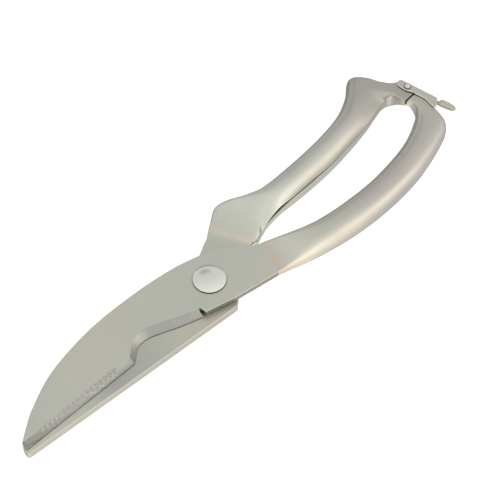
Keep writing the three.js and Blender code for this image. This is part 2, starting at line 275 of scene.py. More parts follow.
class Nodes:
    """Short calls for building one material's nodes."""

    def __init__(self, name):
        self.material = bpy.data.materials.new(name)
        self.material.use_nodes = True
        self.tree = self.material.node_tree
        self.shader = self.tree.nodes["Principled BSDF"]

    def add(self, kind, **inputs):
        node = self.tree.nodes.new(kind)
        for key, value in inputs.items():
            node.inputs[key.replace("_", " ")].default_value = value
        return node

    def link(self, a, b):
        self.tree.links.new(a, b)

    def coordinates(self, scale, turn=0.0):
        """Object coordinates turned about Z and stretched."""
        coordinate = self.add("ShaderNodeTexCoord")
        mapping = self.add("ShaderNodeMapping", Scale=scale, Rotation=(0, 0, turn))
        self.link(coordinate.outputs["Object"], mapping.inputs["Vector"])
        return mapping.outputs["Vector"]

    def noise(self, vector, scale, detail=3.0, rough=0.5):
        node = self.add("ShaderNodeTexNoise", Scale=scale, Detail=detail, Roughness=rough)
        self.link(vector, node.inputs["Vector"])
        return node.outputs["Fac"]

    def along(self, vector, direction):
        """How far a point lies along a level direction (x, y)."""
        node = self.add("ShaderNodeVectorMath")
        node.operation = "DOT_PRODUCT"
        node.inputs[1].default_value = Vector((*direction, 0)).normalized()
        self.link(vector, node.inputs[0])
        return node.outputs["Value"]

    def ramp(self, value, stops):
        node = self.add("ShaderNodeValToRGB")
        elements = node.color_ramp.elements
        while len(elements) < len(stops):
            elements.new(0.5)
        for element, (position, colour) in zip(elements, stops):
            element.position = position
            element.color = (*colour, 1)
        self.link(value, node.inputs["Fac"])
        return node.outputs["Color"]

    def wash(self, vector, stops):
        """Colours along X, given as (x, colour) stops: painted light and shade fixed to the object."""
        start, end = stops[0][0], stops[-1][0]
        x = self.along(vector, (1, 0))
        share = self.to_range(x, 0, 1, place(start, 0, 0).x, place(end, 0, 0).x)
        return self.ramp(share, [((x - start) / (end - start), colour) for x, colour in stops])

    def to_range(self, value, low, high, from_low=0.3, from_high=0.7):
        node = self.add("ShaderNodeMapRange")
        node.inputs["From Min"].default_value = from_low
        node.inputs["From Max"].default_value = from_high
        node.inputs["To Min"].default_value = low
        node.inputs["To Max"].default_value = high
        self.link(value, node.inputs["Value"])
        return node.outputs["Result"]

    def bump(self, height, strength, distance, normal=None):
        node = self.add("ShaderNodeBump", Strength=strength, Distance=distance)
        self.link(height, node.inputs["Height"])
        if normal:
            self.link(normal, node.inputs["Normal"])
        return node.outputs["Normal"]

    def mix(self, kind, factor, a, b):
        node = self.add("ShaderNodeMix")
        node.data_type = "RGBA"
        node.blend_type = kind
        node.inputs["Factor"].default_value = factor
        self.link(a, node.inputs["A"])
        self.link(b, node.inputs["B"])
        return node.outputs["Result"]


CLOUD_SCALE = 28.0
WELD_REACH = 6.0
GRAIN_LENGTH, GRAIN_FINENESS = 40.0, 880.0


def steel(name, light, dark, warm, rough, turn=0.0, grain=0.5, painted_light_wash=None, weld=None, rim=None, worn=True):
    """Satin steel: soft clouds between two greys with a faint warm cast, and drawn grain.

    turn is the grain's angle and grain its depth. tone is a wash of painted light and shade along X as (x,
    colour) stops.
    weld is a point on a weld and the level direction square to it: the steel is heat tinted
    there. rim is a radius round the pivot and the share of colour left there, a painted
    shadow round the head. worn says that the edges are worn bright.
    """
    n = Nodes(name)
    flat = n.coordinates((1, 1, 1))
    along = n.coordinates((GRAIN_LENGTH, GRAIN_FINENESS, GRAIN_FINENESS), turn)
    clouds = n.noise(flat, CLOUD_SCALE, 4.0, 0.55)
    casts = n.noise(flat, CLOUD_SCALE * 0.55, 2.0)
    grains = n.noise(along, 1.0, 4.0, 0.7)
    specks = n.noise(flat, 1500, 2.0)
    base = n.ramp(clouds, [(0.32, dark), (0.68, light)])
    tint = n.ramp(casts, [(0.42, (1, 1, 1)), (0.66, warm)])
    colour = n.mix("MULTIPLY", 1.0, base, tint)
    streak = n.ramp(grains, [(0.25, (0.93, 0.93, 0.93)), (0.75, (1, 1, 1))])
    colour = n.mix("MULTIPLY", 0.8, colour, streak)
    if worn:
        wear = n.add("ShaderNodeNewGeometry")
        edges = n.ramp(wear.outputs["Pointiness"], [(0.5, (1, 1, 1)), (0.56, (1.12, 1.12, 1.1))])
        colour = n.mix("MULTIPLY", 0.7, colour, edges)
    # Painted light and shade: the wash along X.
    if painted_light_wash:
        colour = n.mix("MULTIPLY", 1.0, colour, n.wash(flat, painted_light_wash))
    if weld:
        point, square = weld
        across = n.along(flat, square)
        middle = place(*point, 0).dot(Vector((*square, 0)).normalized())
        band = n.to_range(across, 0, 1, middle - WELD_REACH * MM, middle + WELD_REACH * MM)
        plain, heated = (1, 1, 1), (1.06, 0.965, 0.93)
        heat = n.ramp(band, [(0.3, plain), (0.44, heated), (0.56, heated), (0.72, plain)])
        colour = n.mix("MULTIPLY", 1.0, colour, heat)
    # Painted shadow: a darker ring on the plate round the head.
    if rim:
        radius, left = rim
        flat_only = n.add("ShaderNodeMapping", Scale=(1, 1, 0))
        n.link(flat, flat_only.inputs["Vector"])
        reach = n.add("ShaderNodeVectorMath")
        reach.operation = "DISTANCE"
        reach.inputs[1].default_value = (PIVOT.x, PIVOT.y, 0)
        n.link(flat_only.outputs["Vector"], reach.inputs[0])
        ring = n.to_range(reach.outputs["Value"], 0, 1, (radius - 0.3) * MM, (radius + 0.9) * MM)
        colour = n.mix("MULTIPLY", 1.0, colour, n.ramp(ring, [(0.2, (left,) * 3), (0.75, (1, 1, 1))]))
    n.link(colour, n.shader.inputs["Base Color"])
    n.link(n.to_range(clouds, rough * 0.9, rough * 1.14), n.shader.inputs["Roughness"])
    relief = n.bump(grains, grain * 0.25, 0.00003)
    relief = n.bump(specks, grain * 0.12, 0.00002, relief)
    n.link(relief, n.shader.inputs["Normal"])
    n.shader.inputs["Metallic"].default_value = 1.0
    return n.material


def ground_steel(name, light, dark, rough, centre, painted_light_wash):
    """A freshly ground face: fine lines that fan out from a centre, over soft clouds and a wash of painted
    light and shade along X.
    """
    n = Nodes(name)
    flat = n.coordinates((1, 1, 1))
    clouds = n.noise(flat, 90, 3.0)
    centred = n.add("ShaderNodeVectorMath")
    centred.operation = "SUBTRACT"
    centred.inputs[1].default_value = centre
    n.link(flat, centred.inputs[0])
    gradient = n.add("ShaderNodeTexGradient")
    gradient.gradient_type = "RADIAL"
    n.link(centred.outputs["Vector"], gradient.inputs["Vector"])
    lines = n.add("ShaderNodeTexNoise", Scale=1.0, Detail=5.0, Roughness=0.75)
    lines.noise_dimensions = "1D"
    wide = n.add("ShaderNodeMath")
    wide.operation = "MULTIPLY"
    wide.inputs[1].default_value = 420.0
    n.link(gradient.outputs["Fac"], wide.inputs[0])
    n.link(wide.outputs["Value"], lines.inputs["W"])
    base = n.ramp(clouds, [(0.3, dark), (0.7, light)])
    streak = n.ramp(lines.outputs["Fac"], [(0.36, (0.76, 0.76, 0.76)), (0.62, (1.12, 1.12, 1.1))])
    colour = n.mix("MULTIPLY", 1.0, n.mix("MULTIPLY", 0.9, base, streak), n.wash(flat, painted_light_wash))
    n.link(colour, n.shader.inputs["Base Color"])
    n.link(n.to_range(clouds, rough * 0.88, rough * 1.12), n.shader.inputs["Roughness"])
    n.link(n.bump(lines.outputs["Fac"], 0.5, 0.00006), n.shader.inputs["Normal"])
    n.shader.inputs["Metallic"].default_value = 1.0
    return n.material


FRONT_WELD = ((27.6, -10.5), (0.952, -0.304))
BACK_WELD = ((24.5, 9.5), (0.955, 0.296))
BLADE = steel(
    "blade_steel", (0.65, 0.67, 0.59), (0.615, 0.637, 0.555), (1.055, 0.97, 0.955), 0.42, turn=-0.1,
    rim=(HEAD_RADIUS, 0.5), worn=False,
)
# The back blade's inner face: a darker copy of the blade steel for painted shade under the front blade,
# with a wash of painted light and shade along X.
INNER_PAINTED_LIGHT_AND_SHADE = steel(
    "inner_painted_light_and_shade_steel", (0.6, 0.612, 0.56), (0.56, 0.58, 0.525), (1.05, 0.985, 0.95), 0.42, turn=0.12,
    worn=False,
    painted_light_wash=[
        (-95, (1.24, 1.2, 1.14)), (-78, (1.13, 1.14, 1.08)), (-62, (0.87, 0.88, 0.92)),
        (-48, (0.95, 0.95, 0.96)), (-30, (1.1, 1.08, 1.02)), (-12, (1.19, 1.07, 1.01)),
        (-2, (1.06, 0.98, 0.96)), (8, (1.05, 1.06, 1.01)),
    ],
)
# Painted light and shade along the handles: brighter near the weld, darker towards the back handle's end.
FRONT_PAINTED_LIGHT_WASH = [
    (24, (1.14, 1.135, 1.09)), (36, (1.3, 1.29, 1.26)), (50, (1.08, 1.08, 1.06)), (72, (0.99, 0.99, 0.99)),
    (110, (1.02, 1.02, 1.04)),
]
BACK_PAINTED_LIGHT_WASH = [
    (24, (1.14, 1.135, 1.09)), (36, (1.38, 1.37, 1.32)), (62, (1.1, 1.1, 1.08)), (92, (1.08, 1.08, 1.09)),
    (108, (0.98, 0.98, 0.99)), (120, (0.86, 0.87, 0.88)),
]
HANDLE_TONES = ((0.565, 0.58, 0.53), (0.525, 0.543, 0.495), (1.045, 0.98, 0.965), 0.34)
FRONT_HANDLE = steel("front_handle_steel", *HANDLE_TONES, grain=0.35, painted_light_wash=FRONT_PAINTED_LIGHT_WASH, weld=FRONT_WELD)
BACK_HANDLE = steel("back_handle_steel", *HANDLE_TONES, grain=0.35, painted_light_wash=BACK_PAINTED_LIGHT_WASH, weld=BACK_WELD)
# A darker copy of the blade steel on the rounded edges and the back blade's square sides: painted shade.
EDGE_PAINTED_SHADE = steel("edge_painted_shade_steel", (0.55, 0.55, 0.51), (0.51, 0.51, 0.475), (1.04, 0.98, 0.95), 0.4)
GROOVE = steel("groove_steel", (0.46, 0.465, 0.445), (0.42, 0.425, 0.405), (1.03, 0.98, 0.96), 0.42)
# A dark copy of the blade steel for the front blade's square sides: painted shade.
WALL_PAINTED_SHADE = steel("wall_painted_shade_steel", (0.31, 0.317, 0.29), (0.28, 0.288, 0.26), (1.03, 0.98, 0.96), 0.42)
# The ground edge's wash along X is painted light and shade, brightest on the bone notch's bevel.
GROUND = ground_steel(
    "ground_steel", (0.385, 0.4, 0.39), (0.34, 0.352, 0.343), 0.42, place(-40, -14, 0),
    [
        (-106, (0.7, 0.7, 0.71)), (-97, (0.76, 0.76, 0.77)), (-84, (0.93, 0.92, 0.94)),
        (-70, (1.03, 1.03, 1.06)), (-49, (1.03, 1.03, 1.05)), (-45.5, (1.5, 1.45, 1.4)),
        (-42, (1.3, 1.28, 1.25)), (-38, (1.06, 1.06, 1.05)),
    ],
)
POLISHED = steel(
    "polished_steel", (0.84, 0.85, 0.79), (0.8, 0.81, 0.75), (1.02, 0.99, 0.97), 0.12, grain=0.15,
)
LOCK = steel("lock_steel", (0.58, 0.585, 0.555), (0.54, 0.545, 0.515), (1.03, 0.99, 0.96), 0.36, turn=1.43)
# The thumb tab's crown takes a lighter copy of the lock steel, painted light; its rim and neck take a
# darker one, painted shade.
TAB_PAINTED_LIGHT = steel("tab_painted_light_steel", (0.65, 0.635, 0.58), (0.6, 0.59, 0.54), (1.05, 0.98, 0.95), 0.36, turn=1.43)
TAB_RIM_PAINTED_SHADE = steel("tab_rim_painted_shade_steel", (0.4, 0.415, 0.385), (0.36, 0.375, 0.35), (1.02, 0.99, 0.97), 0.4)
SPRING = steel("spring_steel", (0.42, 0.42, 0.41), (0.36, 0.36, 0.35), (1, 0.99, 0.98), 0.3)
# A dark steel for painted shadow round the foot of the bolt's and the rivet's heads.
SHADE = steel("painted_shade_steel", (0.2, 0.2, 0.185), (0.16, 0.16, 0.15), (1.02, 0.99, 0.97), 0.4)
# Near-black steel: painted shadow in the handle seams, on the handle ends, in the catch notch and under the
# lock strip.
PAINTED_SHADOW = steel("painted_shadow_steel", (0.09, 0.08, 0.07), (0.05, 0.045, 0.04), (1.02, 0.98, 0.95), 0.6)


# ---------------------------------------------------------------- blades

def blade_solid(rows, ground_below, wall):
    """A plate from rows (lower x, y, upper x, y, ground?) listed counterclockwise.

    Where a row is ground, the side slopes between its two outlines; elsewhere it is square with
    rounded edges. ground_below makes the back blade, whose upper face meets the front one; wall
    is the material slot of the square sides, a darker steel for their painted shade.
    """
    bottom, top = (BACK_BOTTOM, BACK_TOP) if ground_below else (FRONT_BOTTOM, FRONT_TOP)
    lower = [(row[0], row[1]) for row in rows]
    upper = [(row[2], row[3]) for row in rows]
    ground = [row[4] for row in rows]
    rounding = [EDGE_ROUND * (1 - g) for g in ground]
    sharp = 0.12

    def make(bm):
        low_share = [lerp(EDGE_ROUND, sharp, g) / (top - bottom) for g in ground]
        levels = [
            [(p, bottom) for p in inset(lower, rounding)],
            [((lerp(a[0], b[0], s * g * 0.3), lerp(a[1], b[1], s * g * 0.3)), lerp(bottom, top, s))
             for a, b, s, g in zip(lower, upper, low_share, ground)],
            [((lerp(a[0], b[0], 1 - s * g), lerp(a[1], b[1], 1 - s * g)), lerp(top, bottom, s))
             for a, b, s, g in zip(lower, upper, low_share, ground)],
            [(p, top) for p in inset(upper, rounding)],
        ]
        rings = [add_ring(bm, [place(p[0], p[1], z) for p, z in level]) for level in levels]
        count = len(rows)

        def side(i):
            return 2 if ground[i] > 0.5 and ground[(i + 1) % count] > 0.5 else wall

        def rounded(i):
            return 2 if ground[i] > 0.5 and ground[(i + 1) % count] > 0.5 else 1

        bridge(bm, rings[0], rings[1], rounded)
        bridge(bm, rings[1], rings[2], side)
        bridge(bm, rings[2], rings[3], rounded)
        cap(bm, rings[0][::-1])
        # The back blade's upper face takes slot 3, its painted light and shade.
        cap(bm, rings[3], 3 if ground_below else 0)

    return make


def both(points, ground=0.0):
    """Rows of a square side from plain x, y points."""
    return [(p[0], p[1], p[0], p[1], ground) for p in points]


def front_blade_rows():
    tip = straight([(-106.2, -0.2, -106.0, 1.1, 0), (-106.5, -0.9, -105.9, 0.95, 1)], 1)
    tip += [(-106.3, -1.4, -105.7, 0.75, 1), (-105.9, -1.5, -105.1, 0.6, 1)]
    edge = straight([(-105, -1.58, -104.4, 0.5, 1), (-49.8, -4.68, -50.4, -2.56, 1)], 60)
    notch = through([
        (-49.2, -4.6, -49.9, -2.5, 1),
        (-46.9, -3.1, -48.1, -1.2, 1),
        (-44.8, -1.4, -45.9, 0.6, 1),
        (-42.6, -0.25, -43.2, 2.2, 1),
        (-40, 0.1, -39.6, 3, 1),
        (-36.2, -0.45, -35.4, 2.75, 1),
        (-31.2, -2.5, -30.4, 0.7, 1),
        (-25.5, -5.2, -24.6, -2.1, 1),
        (-19.6, -7.55, -19.2, -4.65, 1),
        (-14, -9.6, -14.3, -7, 1),
    ], 54)
    nick = [
        (-13.8, -9.1, -13.95, -6.95, 1),
        (-13.6, -7.4, -13.8, -6.75, 1),
        (-13.3, -7, -13.4, -6.62, 0),
        (-13, -7.1, -13.05, -6.75, 0),
    ]
    heel = straight([(-12.85, -10), (1.5, -14.3), (22.2, -18.7), (27.1, -3.1), (26, -2.1)], 6)
    over = through([(25.2, -1.6), (21.1, 2.2), (16.7, 6.6), (11.4, 9.8), (6.6, 11.3)], 20)
    spine = through([
        (6, 11.5), (-6, 15.1), (-25, 18), (-50, 19.2), (-75, 16.1), (-92, 9.7), (-100, 5.2), (-106, 1.2),
    ], 70)
    return tip + edge + notch + nick + both(heel) + both(over) + both(spine[:-1])


def back_blade_rows():
    tip = through([(-105.2, 2.7), (-106.5, 0.7), (-107.2, -1.3), (-107.1, -2.8), (-106.4, -3.3)], 16)
    belly = straight([(-105.8, -3.4), (-2.2, -15.9)], 30)
    heel = through([(-1.4, -15.98), (-0.5, -15.98), (0.2, -15.7), (1.9, -14.4), (3.7, -13), (5.4, -12)], 14)
    weld = straight([(12, -7), (24.5, 0.3), (17.1, 17.2)], 8)
    back = through([
        (16.4, 16.9), (12.4, 15.3), (8.6, 13.5), (5, 12.3), (1, 12.3), (-5, 11.9), (-10, 10.2),
    ], 20)
    ground = straight([(-17.5, 4.4, -17, 7.2, 1), (-104.6, 1.2, -104.3, 3, 1)], 40)
    return both(tip) + both(belly) + both(heel) + both(weld) + both(back) + both([(-13.6, 8)]) + ground


def pivot_pocket(bottom, top, pocket_bottom, pocket_top):
    """What a plate loses round the pivot: the bolt's hole and half the spring's pocket."""
    def make(bm):
        hole = SHAFT_RADIUS + 0.3
        if pocket_top > top:
            profile = [
                (0, bottom - 1), (hole, bottom - 1), (hole, pocket_bottom),
                (POCKET_RADIUS, pocket_bottom), (POCKET_RADIUS, pocket_top), (0, pocket_top),
            ]
        else:
            profile = [
                (0, pocket_bottom), (POCKET_RADIUS, pocket_bottom), (POCKET_RADIUS, pocket_top),
                (hole, pocket_top), (hole, top + 1), (0, top + 1),
            ]
        lathe(bm, profile, 48)
    return make


SCALER_TEETH = 17
SCALER_START, SCALER_END = Vector((-96.5, -0.2)), Vector((-58.5, -1.9))
GROOVE_RADIUS = 0.78
GROOVE_REACH = 1.7
GROOVE_RISE = 0.16
GROOVE_SLOPE = math.radians(35)


def scaler_grooves(bm):
    """Short round grooves across the ground edge, which leave the teeth of the fish scaler."""
    sides = 14
    run, climb = math.cos(GROOVE_SLOPE), math.sin(GROOVE_SLOPE)
    for tooth in range(SCALER_TEETH):
        centre = SCALER_START.lerp(SCALER_END, tooth / (SCALER_TEETH - 1))
        ends = []
        for reach in (-GROOVE_REACH, GROOVE_REACH):
            y = centre.y + reach * run
            z = FRONT_TOP + GROOVE_RISE + reach * climb
            ring = []
            for i in range(sides):
                a = 2 * math.pi * i / sides
                up = GROOVE_RADIUS * math.sin(a)
                ring.append(place(centre.x + GROOVE_RADIUS * math.cos(a), y - up * climb, z + up * run))
            ends.append(add_ring(bm, ring))
        bridge(bm, ends[0], ends[1])
        cap(bm, ends[0][::-1])
        cap(bm, ends[1])


def front_blade():
    solid = blade_solid(front_blade_rows(), False, 3)
    obj = new_piece("front_blade_ground", solid, [BLADE, EDGE_PAINTED_SHADE, GROUND, WALL_PAINTED_SHADE])
    cut(obj, scaler_grooves, GROOVE)
    cut(obj, pivot_pocket(FRONT_BOTTOM, FRONT_TOP, FRONT_BOTTOM - 1, FRONT_BOTTOM + POCKET_DEPTH), BLADE)
    return obj


def back_blade():
    solid = blade_solid(back_blade_rows(), True, 1)
    obj = new_piece("back_blade_ground", solid, [BLADE, EDGE_PAINTED_SHADE, GROUND, INNER_PAINTED_LIGHT_AND_SHADE])
    cut(obj, pivot_pocket(BACK_BOTTOM, BACK_TOP, BACK_TOP - POCKET_DEPTH, BACK_TOP + 1), BLADE)
    return obj


# ---------------------------------------------------------------- handles

CORNER_SIDES = 9
SEAM_DEPTH = 3.0
SEAM_HEIGHT = 2.0
HAIRLINE = 0.02


LIP_OFFSETS = (0.0, 0.2, 0.45, 0.8, 1.2, 1.7, 2.4)


def handle_section(half_width, half_height, roundness, seam_side, seam):
    """Points (across, up) of a folded handle's section, starting at the seam and going round.

    The corners are rounded by a share of the smaller half. seam is (gap, roll, lip width, height,
    crown): a slot in one side whose two lips roll inwards, and crown, 0 to 1, turns the corner
    above the slot into a long slope.
    """
    seam_gap, seam_roll, lip_width, seam_z, crown = seam
    radius = min(roundness * min(half_height, half_width), half_width, half_height)
    flat_x, flat_z = half_width - radius, half_height - radius
    outline = []

    def corner(cx, cz, start):
        for i in range(CORNER_SIDES + 1):
            a = start + (math.pi / 2) * i / CORNER_SIDES
            outline.append((cx + radius * math.cos(a), cz + radius * math.sin(a)))

    def side_x(z):
        """The side's half width at a height."""
        over = max(abs(z) - flat_z, 0.0)
        return flat_x + math.sqrt(max(radius * radius - over * over, 0.0))

    def lip(offset):
        return seam_roll * math.exp(-((offset / lip_width) ** 2))

    upper = [seam_z + seam_gap / 2 + d * min(1.0, (half_height - seam_z) / 6) for d in LIP_OFFSETS]
    lower = [seam_z - seam_gap / 2 - d * min(1.0, half_height / 6) for d in LIP_OFFSETS]
    for z, d in zip(upper, LIP_OFFSETS):
        outline.append((side_x(z) - lip(d), z))
    start = math.asin(min(max((max(upper[-1], flat_z) - flat_z) / radius, 0), 1))
    for i in range(1, CORNER_SIDES + 1):
        a = lerp(start, math.pi / 2, i / CORNER_SIDES)
        outline.append((flat_x + radius * math.cos(a), flat_z + radius * math.sin(a)))
    slot_x, slot_z = outline[0]
    start_x = -flat_x
    for i, (x, z) in enumerate(outline):
        share = 1 - i / len(outline)
        slope = (lerp(start_x, slot_x, share), lerp(half_height, slot_z, share ** 2))
        outline[i] = (lerp(x, slope[0], crown), lerp(z, slope[1], crown))
    outline.append((start_x * 0.99 * crown, half_height))
    corner(-flat_x, flat_z, math.pi / 2)
    outline.append((-half_width, 0))
    corner(-flat_x, -flat_z, math.pi)
    outline.append((0, -half_height))
    corner(flat_x, -flat_z, 1.5 * math.pi)
    for z, d in reversed(list(zip(lower, LIP_OFFSETS))):
        outline.append((side_x(z) - lip(d), z))
    depth = SEAM_DEPTH * smooth(0.0, 0.25, seam_gap)
    edge = side_x(seam_z) - lip(0)
    for share in (0.15, 0.5, 1.0):
        outline.append((edge - depth * share, seam_z - seam_gap / 2))
    for share in (1.0, 0.5, 0.15):
        outline.append((edge - depth * share, seam_z + seam_gap / 2))
    return [(x * seam_side, z) for x, z in outline]


def handle(name, ribs, seam_side, seam, material, steps=150):
    """A folded handle along its ribs; seam gives the seam's five measures at u, 0 to 1 along it."""

    def section(u, shrink):
        left_x, left_y, right_x, right_y, middle, half = spline(ribs, u)
        left, right = Vector((left_x, left_y)), Vector((right_x, right_y))
        centre = (left + right) / 2
        across = (left - right).normalized()
        half_width = (left - right).length / 2 - shrink
        gap, roll, lip_width, seam_z, crown = seam(u)
        measures = (gap, roll, lip_width, min(seam_z, half * 0.3), crown)
        roundness = lerp(0.3, 0.93, smooth(0.0, 0.3, u) * (1 - 0.75 * smooth(0.62, 0.82, u)))
        points = handle_section(half_width, half - shrink, roundness, seam_side, measures)
        if seam_side < 0:
            points = points[::-1]
        return [place(centre.x + across.x * x, centre.y + across.y * x, middle + z) for x, z in points]

    def make(bm):
        places = [(i / steps, 0.0) for i in range(steps)]
        places += [(0.9975, 0.05), (0.9992, 0.2), (1.0, 0.5)]
        rings = [add_ring(bm, section(u, shrink)) for u, shrink in places]
        count = len(rings[0])

        # The seam's inside faces and the handle's end face take painted shadow.
        def inside_seam(i):
            return int(i >= count - 7 if seam_side > 0 else i <= 5 or i == count - 1)

        for a, b in zip(rings, rings[1:]):
            bridge(bm, a, b, inside_seam)
        cap(bm, rings[0][::-1])
        cap(bm, rings[-1], 1)

    return new_piece(name, make, [material, PAINTED_SHADOW], sharp=38)


def back_seam(u):
    """The back handle's seam gapes in two stretches and closes to a hairline at its ends."""
    present = smooth(0.04, 0.1, u) * (1 - smooth(0.68, 0.78, u))
    wide = bump(0.29, 0.06, u) + 0.6 * bump(0.4, 0.04, u)
    gap = (0.14 + 0.9 * wide) * present + HAIRLINE
    crown = smooth(0.14, 0.3, u) * (1 - smooth(0.58, 0.76, u))
    return gap, (0.06 + 0.3 * wide) * present, 0.3 + 0.15 * wide, SEAM_HEIGHT, crown


def front_seam(u):
    """The front handle's seam, which is narrower and has a plain round corner above it."""
    present = smooth(0.04, 0.1, u) * (1 - smooth(0.72, 0.8, u))
    wide = bump(0.35, 0.08, u) + bump(0.55, 0.07, u)
    gap = (0.2 + 0.6 * wide) * present + HAIRLINE
    return gap, (0.08 + 0.2 * wide) * present, 0.4, SEAM_HEIGHT, 0.0


def notch_cutter(bm):
    """What the front handle's end loses so that the lock's catch can drop in."""
    outline = [(138, -8.2), (134, -8.3), (133.8, -11), (133.1, -12.1), (138, -13.5)][::-1]
    low = add_ring(bm, [place(x, y, 2.1) for x, y in outline])
    high = add_ring(bm, [place(x, y, 9) for x, y in outline])
    bridge(bm, low, high)
    cap(bm, low[::-1])
    cap(bm, high)


def front_handle():
    obj = handle("front_handle_shell", FRONT_RIBS, 1, front_seam, FRONT_HANDLE)
    # The notch's cut faces take painted shadow.
    cut(obj, notch_cutter, PAINTED_SHADOW)
    return obj


def back_handle():
    return handle("back_handle_shell", BACK_RIBS, -1, back_seam, BACK_HANDLE)


# ---------------------------------------------------------------- pivot

def pivot_bolt(bm):
    """A plain shaft with a low domed head, turned in one piece."""
    seat = FRONT_TOP + 0.04
    rim = 0.45
    profile = [(0, BED + 0.3), (SHAFT_RADIUS - 0.3, BED + 0.3), (SHAFT_RADIUS, BED + 0.6)]
    profile += [(SHAFT_RADIUS, seat), (HEAD_RADIUS - 0.25, seat), (HEAD_RADIUS, seat + 0.2)]
    dome_steps = 26
    for i in range(dome_steps):
        along = math.cos((i / dome_steps) * math.pi / 2)
        height = (HEAD_TOP - seat - rim) * (1 - along ** 2.2)
        profile.append((HEAD_RADIUS * along, seat + rim + height))
    profile.append((0, HEAD_TOP))
    lathe(bm, profile, 96)
    darken_side(bm, seat, seat + rim)


def darken_side(bm, low, high):
    """Gives the faces between two heights the second material, a painted shadow on the side of a head."""
    for face in bm.faces:
        heights = [(vert.co.z - PIVOT.z) / MM for vert in face.verts]
        if low - 0.01 < min(heights) and max(heights) < high + 0.01:
            face.material_index = 1


def pivot_washer(bm):
    profile = [
        (0, WASHER_TOP), (WASHER_RADIUS - 0.15, WASHER_TOP), (WASHER_RADIUS, WASHER_TOP - 0.15),
        (WASHER_RADIUS, WASHER_BOTTOM + 0.15), (WASHER_RADIUS - 0.15, WASHER_BOTTOM), (0, WASHER_BOTTOM),
    ]
    lathe(bm, profile, 72)


def pivot_nut(bm):
    """A hexagon nut whose corners are turned off at both faces, with the bolt's thread hole."""
    top = WASHER_BOTTOM - 0.05
    sides = 72
    inner = SHAFT_RADIUS + 0.05
    corner = NUT_FLATS / math.sqrt(3)
    chamfer = 0.45

    def reach(angle, limit):
        """The hexagon's radius at an angle, no further than limit."""
        fold = (angle % (math.pi / 3)) - math.pi / 6
        return min(NUT_FLATS / 2 / math.cos(fold), limit)

    def ring(z, limit):
        turn = [2 * math.pi * i / sides for i in range(sides)]
        return add_ring(bm, [
            place(reach(a, limit) * math.cos(a), reach(a, limit) * math.sin(a), z) for a in turn
        ])

    def bore(z, radius):
        turn = [2 * math.pi * i / sides for i in range(sides)]
        return add_ring(bm, [place(radius * math.cos(a), radius * math.sin(a), z) for a in turn])

    rings = [
        bore(top, inner), ring(top, NUT_FLATS / 2), ring(top - chamfer, corner),
        ring(BED + chamfer, corner), ring(BED, NUT_FLATS / 2), bore(BED, inner + 0.35),
        bore(BED + 0.35, inner), bore(top, inner),
    ]
    for a, b in zip(rings, rings[1:]):
        bridge(bm, a, b)


def inside_spring():
    """Two turns of wire between the plates, with a straight leg at each end."""
    coil_radius, rise, turns, leg = 5.6, 1.84, 2, 8.9
    start = math.radians(200)
    curve = bpy.data.curves.new("inside_spring_wire", "CURVE")
    curve.dimensions = "3D"
    curve.bevel_depth = 0.4 * MM
    curve.bevel_resolution = 4
    curve.use_fill_caps = True
    steps = 96
    points = [(leg, start, -rise / 2)]
    for i in range(steps + 1):
        share = i / steps
        points.append((coil_radius, start + turns * 2 * math.pi * share, rise * (share - 0.5)))
    points += [(leg, start + turns * 2 * math.pi, rise / 2)]
    line = curve.splines.new("POLY")
    line.points.add(len(points) - 1)
    for point, (radius, angle, z) in zip(line.points, points):
        point.co = (*place(radius * math.cos(angle), radius * math.sin(angle), z), 1)
    curve.materials.append(SPRING)
    obj = bpy.data.objects.new("inside_spring_wire", curve)
    bpy.context.scene.collection.objects.link(obj)
    return obj


# ---------------------------------------------------------------- lock

def strip_outline():
    """The lock's strip without its thumb tab, counterclockwise in s and t."""
    inner = through([(-2.8, -1.75), (-0.9, -2.0), (0.9, -1.9), (2.8, STRIP_IN)], 12)
    inner += straight([(3.4, STRIP_IN), (9.8, STRIP_IN)], 6)
    inner += through([(11.3, -1.7), (12.5, -2.3), (13.9, -2.8), (15.1, -3.2), (16.1, -3.85)], 16)
    claw = [(16.45, -3.82), (16.62, -3.6)]
    end = through([(16.55, -2.9), (16.3, -2.2), (16.1, -1.6), (15.5, 0.1), (14.95, 0.75), (14.5, 1.3)], 10)
    corner = [(STRIP_END + 0.05, 1.7), (STRIP_END - 0.1, STRIP_OUT - 0.1), (STRIP_END - 0.35, STRIP_OUT)]
    outer = straight([(STRIP_END - 0.9, STRIP_OUT), (-3, STRIP_OUT)], 10)
    heel = through([(-3.4, 2.08), (-4.4, 1.85), (-5.1, 1.1), (-5.2, 0.1), (-4.5, -1.1), (-3.3, -1.7)], 16)
    return inner + claw + end + corner + outer + heel


def safety_lock():
    """The strip with its catch and thumb tab; soft is the rounding of the strip's lower edge."""
    outline = strip_outline()
    soft = 0.28

    def make(bm):
        levels = [
            (inset(outline, [soft] * len(outline)), STRIP_BOTTOM),
            (outline, STRIP_BOTTOM + soft),
            (outline, STRIP_TOP - soft / 2),
            (inset(outline, [soft / 2] * len(outline)), STRIP_TOP),
        ]
        rings = [add_ring(bm, [lock_point(p[0], p[1], z) for p in points]) for points, z in levels]
        for a, b in zip(rings, rings[1:]):
            bridge(bm, a, b, lambda i: 1)
        # The strip's underside takes painted shadow.
        cap(bm, rings[0][::-1], 4)
        cap(bm, rings[3])
        catch_wall(bm)
        thumb_tab(bm)

    return new_piece("safety_lock_plate", make, [LOCK, POLISHED, TAB_RIM_PAINTED_SHADE, TAB_PAINTED_LIGHT, PAINTED_SHADOW], sharp=35)


